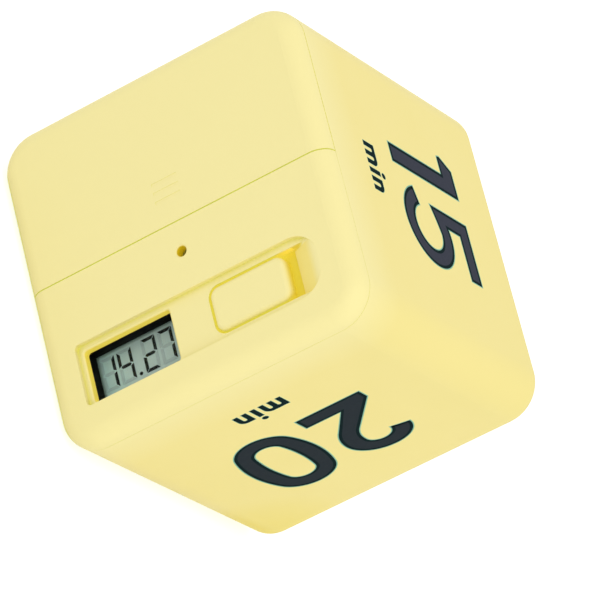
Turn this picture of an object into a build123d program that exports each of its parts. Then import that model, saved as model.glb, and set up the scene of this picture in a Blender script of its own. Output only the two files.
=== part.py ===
from build123d import *
import math
import os

# Flip timer: a cube with a display face at the front (-Y), numbered sides, and the face "15" up.
# Sizes are in millimetres. Depths are measured from the display face towards the back.

# Battery bay, which sets the size of the cube
cell_length = 44.4
cell_radius = 5.2
cell_gap = 0.8
cell_slack = 0.35
contact_thickness = 0.3
spring_length = 5.0
bay_wall = 1.0
bay_floor = 1.2
bay_corner_radius = 2.0
rail_room = 2.0
rail_gap = 0.3
side_room = 1.2

# Cube shell
wall = 2.0
side_corner_radius = 6.8
front_edge_radius = 3.2
back_edge_radius = 2.5
inner_back_radius = 1.0
lid_depth = 3.3
joint_groove = 0.08
overrun = 1.0

# Clearances
slide_gap = 0.15
fit_gap = 0.15
cover_lift = 0.12
seam_gap = 0.22
seat_gap = 0.1
screw_gap = 0.02

# Battery cover
cover_plate = 1.4
cover_rim = 2.2
seam_room = 1.98
rail_lip = 0.7
rail_inset = 3.3
hook_lip = 0.75
tongue_width = 6.0
tongue_thickness = 0.6
tongue_reach = 1.4
tongue_spacing = 24.0
tongue_root = 1.3
tongue_end_gap = 0.3
rib_count = 3
rib_length = 5.0
rib_width = 0.5
rib_pitch = 1.7
rib_depth = 0.05
rib_inset = 4.8

# Front panel
skirt = 1.0
skirt_depth = 6.0
hook_width = 4.0
hook_depth = 9.0
hook_spacing = 24.0
hook_nub = 0.8
hook_nub_depth = 1.6
bridge_thickness = 1.2
bridge_depth = 4.6
bridge_gap = 1.02
bridge_end = 6.0

# Recess, scoop and hole
recess_depth = 1.0
recess_margin = 1.15
recess_inset = 12.3
recess_shift = 0.25
recess_corner = 0.8
recess_flat = 0.6
pad_depth = 2.6
pad_margin = 1.0
scoop_depth = 2.2
scoop_length = 5.05
scoop_rim = 0.8
scoop_rim_round = 0.7
hole_radius = 0.95
hole_edge = 0.2
hole_inset = 5.45

# Display
window_length = 17.25
window_height = 9.65
window_end = 0.95
window_side = 1.05
window_corner = 0.6
window_chamfer = 0.25
frame_depth = 2.3
frame_wall = 0.8
glass_margin = 1.05
glass_ledge = 2.65
rear_glass_ledge = 0.75
glass_thickness = 0.55
film_thickness = 0.15
film_gap = 0.02
segment_film = 0.05
glass_gap = 0.1
connector_width = 1.6
connector_gap = 0.2
digit_height = 6.08
digit_width = 2.84
digit_pitch = 3.4
digit_middle = 4.84
digit_stroke = 0.57
digit_gap = 0.1
digit_end = 2.85
digit_base = 3.2
dot_place = 7.19
dot_rise = 0.46
dot_size = 0.66

# Bars that are dark in each digit of the reading, from the low end
display_reading = ["bc", "bcfg", "abdeg", "abc"]

# Circuit board
board_thickness = 1.2
board_inset = 3.4
board_side_inset = 3.6
board_seam_gap = 1.02
board_corner = 2.0
post_radius = 1.9
post_inset = 2.2
post_seam_inset = 3.4
post_side_inset = 1.8
board_hole_gap = 0.1
board_screw_radius = 0.9
board_screw_length = 5.0
board_screw_head = 1.75
board_screw_head_height = 1.2
drive_width = 0.45
drive_length = 2.2
drive_depth = 0.6
lead_radius = 0.25
lead_gap = 0.05
lead_stub = 1.1

# Power knob and slide switch
knob_length = 14.6
knob_height = 8.2
knob_corner = 1.8
knob_edge_radius = 0.9
knob_top_depth = 0.5
knob_travel = 1.3
knob_gap = 0.4
slot_corner = 0.3
slot_place = 7.55
flange_thickness = 1.2
flange_cover = 0.6
guide_width = 0.9
socket_wall = 1.1
socket_length = 1.3
socket_lift = 0.3
socket_roof = 0.2
socket_gap = 0.05
actuator_width = 2.0
actuator_reach = 1.9
switch_width = 4.3
switch_length = 8.6
switch_height = 3.6
switch_shell = 0.4
switch_base_thickness = 0.8
slider_width = 3.2
slider_length = 6.1
slider_height = 1.65
slider_gap = 0.15
pin_pitch = 2.5

# Lamp behind the hole
lamp_radius = 1.5
lamp_flange_radius = 1.85
lamp_flange = 1.0
lamp_lift = 1.8
lamp_lead_pitch = 2.54
lamp_dome = 0.4
tube_wall = 1.0
tube_gap = 1.1

# Sounder
disc_radius = 10.0
disc_thickness = 0.25
ceramic_radius = 7.0
ceramic_thickness = 0.2
ring_height = 1.8
ring_wall = 1.1
ring_ledge = 1.0

# Tilt sensors
ball_radius = 1.9
ball_gap = 0.08
can_wall = 0.3
can_length = 9.0
plug_depth = 1.6
ball_rest_gap = 0.05
tilt_angle = 45.0
tilt_lift = 0.3
tilt_spacing = 30.0
tilt_shift = 5.0
tilt_frame_gap = 0.8
tilt_lead_pitch = 2.0
tilt_lead_reach = 1.3
tilt_lead_bend = 0.6

# Battery contacts, springs and wires
plate_width = 8.0
tab_width = 2.4
tab_reach = 2.6
spring_wire = 0.5
spring_base_radius = 3.2
spring_tip_radius = 2.1
spring_turns = 3
spring_bend = 0.6
wire_radius = 0.5
wire_bend = 3.5
wire_run = 6.0
wire_layer = 3.0
wire_edge = 1.9
red_wire_rise = 10.85
black_wire_rise = 3.85
sounder_wire_radius = 0.35
sounder_wire_bend = 3.0
sounder_wire_spread = 4.0
sounder_wire_step = 7.2
sounder_wire_inset = 6.4
nub_radius = 1.9
nub_height = 1.0
nub_edge = 0.3
cell_rim = 0.4
cell_edge = 0.35
cell_cap_height = 0.25
cell_floor_gap = 0.05

# Lid screws
lid_screw_radius = 1.1
lid_screw_length = 10.0
lid_screw_head = 1.9
lid_screw_head_height = 1.25
lid_screw_spacing = 30.0
boss_wall = 1.9
divider_width = 0.8
divider_length = 16.0
divider_height = 3.7

# Chip, crystal and small parts
chip_radius = 4.5
chip_height = 1.4
crystal_radius = 1.0
crystal_length = 6.0
small_part_length = 1.6
small_part_width = 0.8
small_part_height = 0.55
small_part_pitch = 2.2
small_part_rows = 4
small_part_columns = 3

# Printed numerals
numeral_height = 22.3
numeral_baseline = 5.8
fifteen_left = 13.9
fifteen_pitch = 10.95
fifteen_unit_left = 6.9
fifteen_unit_baseline = 15.4
twenty_left = 13.3
twenty_pitch = 14.8
twenty_unit_left = 4.2
twenty_unit_baseline = 16.3
ink_depth = 0.15
unit_height = 3.55
unit_stroke = 1.1
unit_counter = 0.6

# Numeral outlines, as shares of the numeral height, from the left of the baseline
one_outline_share = [
    (0.081, 1.007), (0.352, 1.007), (0.352, -0.007), (0.166, -0.007), (0.166, 0.796),
    (0.008, 0.796), (-0.007, 0.849),
]
two_base_share = [(-0.007, -0.007), (0.577, -0.007), (0.577, 0.177), (0.275, 0.177), (0.466, 0.45)]
two_outer_share = [
    (0.466, 0.45), (0.544, 0.608), (0.561, 0.732), (0.478, 0.933), (0.278, 1.016), (0.08, 0.938),
]
two_hook_share = [(0.08, 0.938), (0.004, 0.767), (0.174, 0.718)]
two_inner_share = [(0.174, 0.718), (0.211, 0.811), (0.278, 0.836), (0.349, 0.807), (0.376, 0.73)]
two_diagonal_share = [(0.376, 0.73), (0.365, 0.643), (0.317, 0.542), (-0.007, 0.132)]
three_top_share = (0.28, 0.735, 0.281, 0.105)
three_bottom_share = (0.285, 0.291, 0.312, 0.132)
three_opening_share = [(0.273, 0.695), (-0.143, 0.85), (-0.143, 0.16), (0.278, 0.334)]
three_bar_share = (0.168, 0.36, 0.43, 0.594)
five_bar_share = (0.07, 0.626, 0.831, 1.007)
five_ring_share = (0.318, 0.336, 0.35, 0.181)
five_opening_share = [
    (0.304, 0.331), (-0.002, 0.239), (-0.193, 0.182), (-0.193, 0.743), (0.219, 0.743), (0.219, 0.498),
]
five_stem_share = [(0.233, 0.62), (0.233, 1.007), (0.07, 1.007), (0.07, 0.431)]
five_stem_curve_share = [(0.07, 0.431), (0.19, 0.4785), (0.318, 0.517)]
six_ring_share = (0.309, 0.318, 0.341, 0.154)
six_stem_share = [
    (0.274, 1.007), (0.5, 1.007), (0.306, 0.656), (0.153, 0.432), (0.016, 0.486), (0.114, 0.753),
]
zero_outer_share = (0.307, 0.523, 0.267)
zero_inner_share = (0.13, 0.334, 0.11)

# Places on the board, as shares of its width and height from its centre
chip_place_share = (-0.08, 0.0)
crystal_place_share = (0.34, 0.0)
small_parts_place_share = (0.34, 0.244)

# Derived sizes of the knob's slot and of the recess
slot_length = knob_length + knob_travel + 2 * knob_gap
slot_height = knob_height + 2 * knob_gap
recess_length = window_end + window_length + slot_place + slot_length + scoop_length
recess_height = slot_height + 2 * recess_margin

# Derived sizes of the cube and its bay
bay_length = cell_length + spring_length + 2 * contact_thickness
bay_side = bay_length + 2 * (bay_wall + rail_room + wall)
face_side = recess_length + 2 * (wall + fit_gap + skirt + frame_wall + glass_margin)
cube_size = max(bay_side, face_side)
half = cube_size / 2
front = -half
inner_half = half - wall
cell_depth = cover_plate + cell_slack + cell_radius
bay_bottom = cell_depth + cell_radius + cell_floor_gap
cell_pitch = 2 * cell_radius + cell_gap
bay_width = 2 * cell_pitch
bay_left = -inner_half + side_room + bay_wall
bay_right = bay_left + bay_width
bay_low = half - bay_length / 2
bay_high = half + bay_length / 2
bay_top = cover_plate + slide_gap
cell_places = [bay_right - cell_pitch / 2, bay_left + cell_pitch / 2]
bay_middle = (bay_left + bay_right) / 2
seam = bay_right + bay_wall + seam_room

# Derived sizes of the recess, the display and the knob
recess_middle = half - recess_inset
recess_low = half + recess_shift - recess_length / 2
recess_high = recess_low + recess_length
window_low = recess_low + window_end
window_high = window_low + window_length
window_left = recess_middle - recess_height / 2 + window_side
window_right = window_left + window_height
frame_back = pad_depth + frame_depth
glass_left = window_left - glass_margin
glass_right = window_right + glass_ledge
glass_low = window_low - glass_margin
glass_high = window_high + glass_margin
frame_left = glass_left - glass_gap - frame_wall
front_glass_depth = frame_back + film_thickness + film_gap
segment_depth = front_glass_depth + glass_thickness + film_gap
rear_glass_depth = segment_depth + segment_film + film_gap
reflector_depth = rear_glass_depth + glass_thickness + film_gap
rear_glass_right = window_right + rear_glass_ledge
slot_low = window_high + slot_place
slot_high = slot_low + slot_length
knob_low = slot_low + knob_gap
knob_high = knob_low + knob_length
flange_depth = pad_depth + seat_gap
flange_low = slot_low - knob_travel - flange_cover
flange_high = slot_high + flange_cover
flange_height = slot_height + 2 * flange_cover
socket_end = flange_depth + flange_thickness + socket_length
switch_front = socket_end + socket_lift
actuator_tip = switch_front - actuator_reach
board_depth = switch_front + switch_height
switch_middle = (knob_low + knob_high + knob_travel) / 2
knob_middle = (knob_low + knob_high) / 2

# Derived places on the board
board_left = seam + board_seam_gap
board_right = half - board_side_inset
board_low = board_inset
board_high = cube_size - board_inset
board_width = board_right - board_left
board_height = board_high - board_low
board_middle = (board_left + board_right) / 2
board_back = board_depth + board_thickness
hole_place = seam + hole_inset
posts = [
    (board_left + post_seam_inset, board_low + post_inset),
    (board_left + post_seam_inset, board_high - post_inset),
    (board_right - post_side_inset, board_high - post_inset),
]
post_pilot = board_screw_radius + screw_gap


def slab(sketch, shallow, deep):
    """Solid cut from a sketch drawn across and up the cube, between two depths."""
    plane = Plane(origin=(0, front + shallow, 0), x_dir=(1, 0, 0), z_dir=(0, -1, 0))
    return extrude(plane * sketch, amount=shallow - deep)


def box(across, depth, height):
    """Box between two places across the cube, two depths and two heights."""
    pairs = (across, depth, height)
    size = [pair[1] - pair[0] for pair in pairs]
    middle = [(pair[0] + pair[1]) / 2 for pair in pairs]
    return Pos(middle[0], front + middle[1], middle[2]) * Box(*size)


def rod(across, height, radius, shallow, deep):
    """Round rod that runs from front to back."""
    return slab(Pos(across, height) * Circle(radius), shallow, deep)


def rectangle(across, height, radius=0):
    """Rectangle between two places across and two heights, with rounded corners."""
    width = across[1] - across[0]
    length = height[1] - height[0]
    middle = Pos((across[0] + across[1]) / 2, (height[0] + height[1]) / 2)
    if radius:
        return middle * RectangleRounded(width, length, radius)
    return middle * Rectangle(width, length)


def inset_square(inset):
    """Outline of the cube seen from the display face, drawn in by a distance."""
    side = cube_size - 2 * inset
    return Pos(0, half) * RectangleRounded(side, side, side_corner_radius - inset)


def cube_form():
    """The outer form of the closed cube."""
    form = slab(inset_square(0), 0, cube_size)
    form = fillet(form.edges().group_by(Axis.Y)[0], front_edge_radius)
    return fillet(form.edges().group_by(Axis.Y)[-1], back_edge_radius)


def scaled(points):
    """Outline points of a numeral at its real size."""
    return [(u * numeral_height, v * numeral_height) for u, v in points]


def ring(share):
    """Round bowl of a numeral: centre, outer radius and inner radius."""
    u, v, outer, inner = [value * numeral_height for value in share]
    return Pos(u, v) * (Circle(outer) - Circle(inner))


def bar(share):
    """Straight bar of a numeral between two places across and two heights."""
    left, right, low, high = [value * numeral_height for value in share]
    return rectangle((left, right), (low, high))


def polygon(points):
    """Face inside straight edges."""
    return make_face(Polyline(*points, close=True))


def arcs(points):
    """Edges that run through points in threes: start, middle and end of each arc."""
    return [ThreePointArc(*points[i:i + 3]) for i in range(0, len(points) - 2, 2)]


def oval(share):
    """Upright oval with narrow ends and flatter sides, drawn about its middle."""
    half_width, half_length, end_radius = [value * numeral_height for value in share]
    end_centre = half_length - end_radius
    side_radius = (half_width**2 + end_centre**2 - end_radius**2) / (2 * (half_width - end_radius))
    reach = side_radius - half_width
    ends_part = math.hypot(reach, end_centre)
    u = end_radius * reach / ends_part
    v = end_centre + end_radius * end_centre / ends_part
    edges = arcs([(u, v), (0, half_length), (-u, v), (-half_width, 0), (-u, -v)])
    edges += arcs([(-u, -v), (0, -half_length), (u, -v), (half_width, 0), (u, v)])
    return make_face(edges)


def digit_one():
    return polygon(scaled(one_outline_share))


def digit_two():
    base = scaled(two_base_share)
    diagonal = scaled(two_diagonal_share)
    edges = [Polyline(*base)]
    edges += arcs(scaled(two_outer_share[:5]))
    edges += [ThreePointArc(*scaled([two_outer_share[4], two_hook_share[0], two_hook_share[1]]))]
    edges += [Line(*scaled(two_hook_share[1:]))]
    edges += arcs(scaled(two_inner_share))
    edges += [ThreePointArc(*diagonal[:3]), Polyline(*diagonal[2:], base[0])]
    return make_face(edges)


def digit_three():
    bowls = ring(three_top_share) + ring(three_bottom_share)
    return bowls - polygon(scaled(three_opening_share)) + bar(three_bar_share)


def digit_five():
    stem = scaled(five_stem_share)
    curve = scaled(five_stem_curve_share)
    edges = [ThreePointArc(*curve), Line(curve[2], stem[0]), Polyline(*stem)]
    bowl = ring(five_ring_share) - polygon(scaled(five_opening_share))
    return bowl + make_face(edges) + bar(five_bar_share)


def digit_six():
    return ring(six_ring_share) + polygon(scaled(six_stem_share))


def digit_zero():
    place = Pos(zero_outer_share[0] * numeral_height, numeral_height / 2)
    return place * (oval(zero_outer_share) - oval(zero_inner_share))


def arch(width):
    """Letter arch on a left stem, as in a lower-case n."""
    outer = width / 2
    crown = unit_height - outer
    ring_top = Pos(outer, crown) * (Circle(outer) - Circle(outer - unit_stroke))
    ring_top = ring_top - rectangle((-outer, width + outer), (crown - width, crown))
    right = rectangle((width - unit_stroke, width), (0, crown))
    return ring_top + right + rectangle((0, unit_stroke), (0, unit_height))


def unit_word():
    """The unit under each numeral, in plain lower-case letters."""
    pitch = unit_stroke + unit_counter
    letter = arch(pitch + unit_stroke)
    stem_place = 3 * pitch
    dot = Pos(stem_place + unit_stroke / 2, unit_height + 0.85 * unit_stroke) * Circle(0.58 * unit_stroke)
    stem = rectangle((stem_place, stem_place + unit_stroke), (0, unit_height))
    return letter + Pos(pitch, 0) * letter + stem + dot + Pos(4 * pitch, 0) * letter


def numeral(first, second, layout):
    """Two numerals and the unit below them, about the middle of a face."""
    left, pitch, unit_left, unit_baseline = layout
    pair = Pos(-left, -numeral_baseline) * first + Pos(pitch - left, -numeral_baseline) * second
    return pair + Pos(-unit_left, -unit_baseline) * unit_word()


def numeral_faces():
    """Each numbered face: the sketch of its numeral, and the plane it is printed on."""
    zero = digit_zero()
    narrow = (fifteen_left, fifteen_pitch, fifteen_unit_left, fifteen_unit_baseline)
    wide = (twenty_left, twenty_pitch, twenty_unit_left, twenty_unit_baseline)
    sides = {
        "15": (digit_one(), digit_five(), narrow, (0, 0, cube_size), (1, 0, 0), (0, 0, 1)),
        "20": (digit_two(), zero, wide, (half, 0, half), (0, 0, -1), (1, 0, 0)),
        "30": (digit_three(), zero, wide, (0, 0, 0), (-1, 0, 0), (0, 0, -1)),
        "60": (digit_six(), zero, wide, (-half, 0, half), (0, 0, 1), (-1, 0, 0)),
    }
    faces = {}
    for name, (first, second, layout, origin, x_dir, z_dir) in sides.items():
        faces[name] = Plane(origin=origin, x_dir=x_dir, z_dir=z_dir) * numeral(first, second, layout)
    return faces


def inks():
    """Thin printed numerals, let into the sides so that they lie flush."""
    return {name: extrude(face, amount=-ink_depth) for name, face in numeral_faces().items()}


def boss_places():
    """Heights of the two long screws between the cells."""
    return [half - lid_screw_spacing / 2, half + lid_screw_spacing / 2]


def housing(printed):
    """Five-sided shell with its screw bosses, sounder ring and catch pockets."""
    shell = cube_form() - slab(inset_square(-overrun), -overrun, lid_depth)
    cavity = slab(inset_square(wall), lid_depth - overrun, cube_size - wall)
    cavity = fillet(cavity.edges().group_by(Axis.Y)[-1], inner_back_radius)
    rim = inset_square(-overrun) - inset_square(joint_groove)
    shell = shell - cavity - slab(rim, lid_depth - overrun, lid_depth + joint_groove)
    for height in boss_places():
        boss_radius = lid_screw_radius + boss_wall
        boss = rod(bay_middle, height, boss_radius, bay_bottom + bay_floor, cube_size - wall / 2)
        pilot_end = bay_bottom + lid_screw_length + overrun
        pilot = rod(bay_middle, height, lid_screw_radius + screw_gap, bay_bottom, pilot_end)
        shell = shell + boss - pilot
    seat_radius = disc_radius + fit_gap
    sounder_plane = Plane(origin=(inner_half, 0, half), x_dir=(0, 1, 0), z_dir=(-1, 0, 0))
    wall_ring = extrude(sounder_plane * Circle(seat_radius + ring_wall), amount=ring_height)
    wall_ring = wall_ring + extrude(sounder_plane * Circle(seat_radius), amount=-wall / 4)
    bore = extrude(sounder_plane.offset(ring_ledge) * Circle(seat_radius), amount=ring_height)
    middle = extrude(sounder_plane * Circle(seat_radius - ring_wall), amount=ring_height)
    shell = shell + (wall_ring - bore - middle)
    for height in hook_heights():
        shell = shell - catch_form(height, seat_gap)
    for ink in printed.values():
        shell = shell - ink
    return shell


def hook_heights():
    """Heights of the two catches on the panel's skirt."""
    return [half - hook_spacing / 2, half + hook_spacing / 2]


def catch_form(height, gap):
    """Nub of a catch, or its pocket when a gap is given."""
    inner = inner_half - fit_gap - skirt / 2 + gap / 2
    outer = inner_half - fit_gap + hook_nub + gap
    deep = hook_depth - seat_gap + gap
    shallow = deep - hook_nub_depth - 2 * gap
    reach = hook_width / 2 + gap
    return box((inner, outer), (shallow, deep), (height - reach, height + reach))


def recess_outline():
    """Plan of the shallow recess: square at the display end, round at the other."""
    left = recess_middle - recess_height / 2
    right = recess_middle + recess_height / 2
    recess_round = recess_height / 2 - recess_flat
    middle = recess_high - recess_round
    square_part = rectangle((left, right), (recess_low, middle), recess_corner)
    round_part = rectangle((left, right), (middle - 2 * recess_round, recess_high), recess_round)
    return square_part + round_part


def scoop_outline():
    """Plan of the deeper finger scoop past the end of the knob's slot."""
    sides = (recess_middle - slot_height / 2, recess_middle + slot_height / 2)
    scoop_round = slot_height / 2 - recess_flat
    rounded = rectangle(sides, (slot_high - 2 * scoop_round, recess_high), scoop_round)
    return rounded & rectangle(sides, (slot_high - slot_corner, recess_high))


def recess_cut():
    """Recess and scoop, whose floor slopes up to the face at the far end."""
    block = slab(recess_outline(), -overrun, recess_depth) + slab(scoop_outline(), -overrun, scoop_depth)
    slope = math.hypot(scoop_depth, recess_high - scoop_rim - slot_high)
    along = (-scoop_depth / slope, (recess_high - scoop_rim - slot_high) / slope)
    corner = (0, recess_high - scoop_rim)
    start = (-along[0] * scoop_rim_round, corner[1] - along[1] * scoop_rim_round)
    end = (0, corner[1] + scoop_rim_round)
    low = recess_low - overrun
    outline = [end, (-overrun, end[1]), (-overrun, low), (scoop_depth, low), (scoop_depth, slot_high), start]
    edges = [Polyline(*outline), TangentArc(start, end, tangent=along)]
    side = Plane(origin=(recess_middle - recess_height, front, 0), x_dir=(0, 1, 0), z_dir=(1, 0, 0))
    return block & extrude(side * make_face(edges), amount=2 * recess_height)


def window_cut():
    """Display window with its bevelled outer edge."""
    left = window_left - window_chamfer
    right = window_right + window_chamfer
    height = (window_low - window_chamfer, window_high + window_chamfer)
    mouth_plan = rectangle((left, right), height, window_corner + window_chamfer)
    mouth = slab(mouth_plan, 0, recess_depth + window_chamfer)
    mouth = chamfer(mouth.edges().group_by(Axis.Y)[-1], window_chamfer)
    opening = rectangle((window_left, window_right), (window_low, window_high), window_corner)
    return mouth + slab(opening, 0, pad_depth + overrun)


def hole_cut():
    """Small hole in front of the lamp, with a bevelled edge."""
    mouth = rod(hole_place, half, hole_radius + hole_edge, -hole_edge, hole_edge)
    mouth = chamfer(mouth.edges().group_by(Axis.Y)[-1], hole_edge)
    return mouth + rod(hole_place, half, hole_radius, -overrun, wall + overrun)


def slot_plan():
    """Slot that the knob runs in: round corners at the low end, tight ones at the scoop."""
    sides = (recess_middle - slot_height / 2, recess_middle + slot_height / 2)
    middle = (slot_low + slot_high) / 2
    low_part = rectangle(sides, (slot_low, middle + slot_height / 2), knob_corner + knob_gap)
    return low_part + rectangle(sides, (middle, slot_high), slot_corner)


def lid_form():
    """Front slice of the cube, which the panel and the battery cover share."""
    return cube_form() & box((-cube_size, cube_size), (-overrun, lid_depth), (-overrun, cube_size + overrun))


def cover_part():
    """Everything to the left of the seam."""
    return box((-cube_size, seam - seam_gap / 2), (-overrun, cube_size), (-overrun, cube_size + overrun))


def panel_part():
    """Everything to the right of the seam."""
    return box((seam + seam_gap / 2, cube_size), (-overrun, cube_size), (-overrun, cube_size + overrun))


def tongue_heights():
    """Heights of the two tongues that tuck under the panel's edge."""
    return [half - tongue_spacing / 2, half + tongue_spacing / 2]


def mirrored_heights(low, high):
    """A pair of heights near the bottom, and its mirror image near the top."""
    return [(low, high), (cube_size - high, cube_size - low)]


def battery_cover():
    """Sliding battery cover with hook rails, tongues and thumb grooves."""
    cover = lid_form() & cover_part()
    cover = cover - slab(inset_square(-overrun), lid_depth - cover_lift, lid_depth + overrun)
    cover = cover - slab(inset_square(cover_rim), cover_plate, lid_depth + overrun)
    rail_back = bay_top + rail_lip
    hook_span = (bay_left + rail_inset, bay_right)
    hook_depths = (rail_back + slide_gap, rail_back + slide_gap + hook_lip)
    for heights in mirrored_heights(cover_rim / 2, bay_low - bay_wall - rail_gap):
        cover = cover + box(hook_span, hook_depths, heights)
    tongue_span = (seam - seam_gap / 2 - tongue_root, seam + tongue_reach)
    tongue_depths = (cover_plate - tongue_thickness, cover_plate)
    for height in tongue_heights():
        reach = tongue_width / 2
        cover = cover + box(tongue_span, tongue_depths, (height - reach, height + reach))
    rib_heights = (half - rib_length / 2, half + rib_length / 2)
    for index in range(rib_count):
        across = seam - rib_inset - index * rib_pitch
        groove = rectangle((across - rib_width / 2, across + rib_width / 2), rib_heights)
        cover = cover - slab(groove, -overrun, rib_depth)
    return cover


def bay_tub():
    """Open tub for the two cells, with outer rails for the cover's hooks."""
    across = (bay_left - bay_wall, bay_right + bay_wall)
    height = (bay_low - bay_wall, bay_high + bay_wall)
    tub = slab(rectangle(across, height, bay_corner_radius), bay_top, bay_bottom + bay_floor)
    rail_span = (bay_left + rail_inset, bay_right)
    for heights in mirrored_heights(cover_rim + rail_gap, height[0] + bay_wall / 2):
        tub = tub + box(rail_span, (bay_top, bay_top + rail_lip), heights)
    tub = tub - slab(rectangle((bay_left, bay_right), (bay_low, bay_high)), 0, bay_bottom)
    divider = (bay_middle - divider_width / 2, bay_middle + divider_width / 2)
    rib_height = (half - divider_length / 2, half + divider_length / 2)
    tub = tub + box(divider, (bay_bottom - divider_height, bay_bottom + bay_floor / 2), rib_height)
    through = (bay_bottom - overrun, bay_bottom + bay_floor + overrun)
    for height in boss_places():
        tub = tub - rod(bay_middle, height, lid_screw_radius + seat_gap, *through)
    for across, low, high in tab_places():
        reach = tab_width / 2 + seat_gap
        tub = tub - box((across - reach, across + reach), through, (low, high + seat_gap))
    return tub


def tab_places():
    """Places of the two solder tabs that pass through the bay's floor."""
    low = bay_low
    return [(across, low, low + contact_thickness) for across in cell_places]


def bridge():
    """Step that joins the panel to the bay behind the seam."""
    left = seam + tongue_reach + bridge_gap
    height = (bridge_end, cube_size - bridge_end)
    upright = box((left, left + bridge_thickness), (wall / 2, bridge_depth), height)
    flange_span = (bay_right + bay_wall / 2, left + bridge_thickness)
    return upright + box(flange_span, (bridge_depth - bridge_thickness, bridge_depth), height)


def skirt_form():
    """Skirt that locates the lid in the shell, with its two catches."""
    left = seam + tongue_reach
    inset = wall + fit_gap
    form = slab(inset_square(inset), wall / 2, skirt_depth)
    form = form & box((left, cube_size), (0, cube_size), (0, cube_size))
    hook_across = (half - inset - skirt, half - inset)
    for height in hook_heights():
        reach = hook_width / 2
        form = form + box(hook_across, (wall, hook_depth), (height - reach, height + reach))
        form = form + catch_form(height, 0)
    return form


def front_panel():
    """Face panel with the recess, the window, the slot, the posts and the battery bay."""
    panel = (lid_form() & panel_part()) + skirt_form()
    panel = panel - (slab(inset_square(wall + fit_gap + skirt), wall, cube_size) & panel_part())
    pad_reach = recess_height / 2 + pad_margin
    pad_across = (recess_middle - pad_reach, recess_middle + pad_reach)
    pad = rectangle(pad_across, (recess_low - pad_margin, recess_high + pad_margin))
    panel = panel + slab(pad, wall / 2, pad_depth)
    tube = Pos(hole_place, half) * Circle(lamp_radius + fit_gap + tube_wall)
    tube_end = board_depth - lamp_flange - tube_gap
    panel = panel + slab(tube, wall / 2, tube_end) + bridge() + bay_tub()
    for across, height in posts:
        panel = panel + rod(across, height, post_radius, wall / 2, board_depth)
    guide_gap = flange_height / 2 + slide_gap
    guide_height = (flange_low - guide_width, flange_high + knob_travel + slide_gap)
    guide_depths = (pad_depth - pad_depth / 4, flange_depth + flange_thickness)
    for side in (-1, 1):
        places = sorted((recess_middle + side * guide_gap, recess_middle + side * (guide_gap + guide_width)))
        panel = panel + box(places, guide_depths, guide_height)
    panel = panel - recess_cut() - window_cut() - slab(slot_plan(), 0, pad_depth + overrun)
    panel = panel - hole_cut()
    panel = panel - rod(hole_place, half, lamp_radius + fit_gap, wall, tube_end + overrun)
    pilot_start = board_back - board_screw_length - overrun
    for across, height in posts:
        panel = panel - rod(across, height, post_pilot, pilot_start, board_depth + overrun)
    span = (seam - overrun, seam + tongue_reach + tongue_end_gap)
    pocket_depths = (cover_plate - tongue_thickness - slide_gap, wall + slide_gap)
    for height in tongue_heights():
        reach = tongue_width / 2 + slide_gap
        panel = panel - box(span, pocket_depths, (height - reach, height + reach))
    return panel


def power_knob():
    """Sliding knob: a rounded cap, a flange under the slot, and a socket for the switch."""
    sides = (recess_middle - knob_height / 2, recess_middle + knob_height / 2)
    plan = rectangle(sides, (knob_low, knob_high), knob_corner)
    cap = slab(plan, knob_top_depth, flange_depth + flange_thickness / 2)
    cap = fillet(cap.edges().group_by(Axis.Y)[0], knob_edge_radius)
    wide = (recess_middle - flange_height / 2, recess_middle + flange_height / 2)
    flange = box(wide, (flange_depth, flange_depth + flange_thickness), (flange_low, flange_high))
    inner = actuator_width / 2 + socket_gap
    outer = inner + socket_wall
    across = (recess_middle - outer, recess_middle + outer)
    socket = box(across, (flange_depth, socket_end), (knob_middle - outer, knob_middle + outer))
    hollow_across = (recess_middle - inner, recess_middle + inner)
    hollow_depths = (actuator_tip - socket_roof, socket_end + overrun)
    hollow = box(hollow_across, hollow_depths, (knob_middle - inner, knob_middle + inner))
    return cap + flange + socket - hollow


def switch_case():
    """Metal case of the slide switch, open at the back and slotted at the front."""
    across = (recess_middle - switch_width / 2, recess_middle + switch_width / 2)
    height = (switch_middle - switch_length / 2, switch_middle + switch_length / 2)
    case = box(across, (switch_front, board_depth), height)
    inner_across = (across[0] + switch_shell, across[1] - switch_shell)
    inner_height = (height[0] + switch_shell, height[1] - switch_shell)
    case = case - box(inner_across, (switch_front + switch_shell, board_depth + overrun), inner_height)
    reach = actuator_width / 2 + slider_gap
    slot_ends = (knob_middle - reach, knob_middle + knob_travel + reach)
    slot_across = (recess_middle - reach, recess_middle + reach)
    return case - box(slot_across, (switch_front - overrun, board_depth), slot_ends)


def switch_base():
    """Moulded base that closes the switch at the board."""
    half_width = switch_width / 2 - switch_shell
    half_length = switch_length / 2 - switch_shell
    across = (recess_middle - half_width, recess_middle + half_width)
    height = (switch_middle - half_length, switch_middle + half_length)
    return box(across, (board_depth - switch_base_thickness, board_depth), height)


def switch_slider():
    """Block that slides in the switch, and the actuator that the knob carries."""
    shallow = switch_front + switch_shell + socket_gap
    across = (recess_middle - slider_width / 2, recess_middle + slider_width / 2)
    block_height = (knob_middle - slider_length / 2, knob_middle + slider_length / 2)
    block = box(across, (shallow, shallow + slider_height), block_height)
    reach = actuator_width / 2
    stem_across = (recess_middle - reach, recess_middle + reach)
    stem_height = (knob_middle - reach, knob_middle + reach)
    return block + box(stem_across, (actuator_tip, shallow + slider_height / 2), stem_height)


def switch_pin_places():
    return [(recess_middle, switch_middle + step * pin_pitch) for step in (-1, 0, 1)]


def lamp_lead_places():
    return [(hole_place, half + step * lamp_lead_pitch / 2) for step in (-1, 1)]


def straight_leads(places):
    """Leads that stand in the board's holes and stick out behind it."""
    end = board_back + lead_stub
    return [rod(across, height, lead_radius, board_depth, end) for across, height in places]


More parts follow.
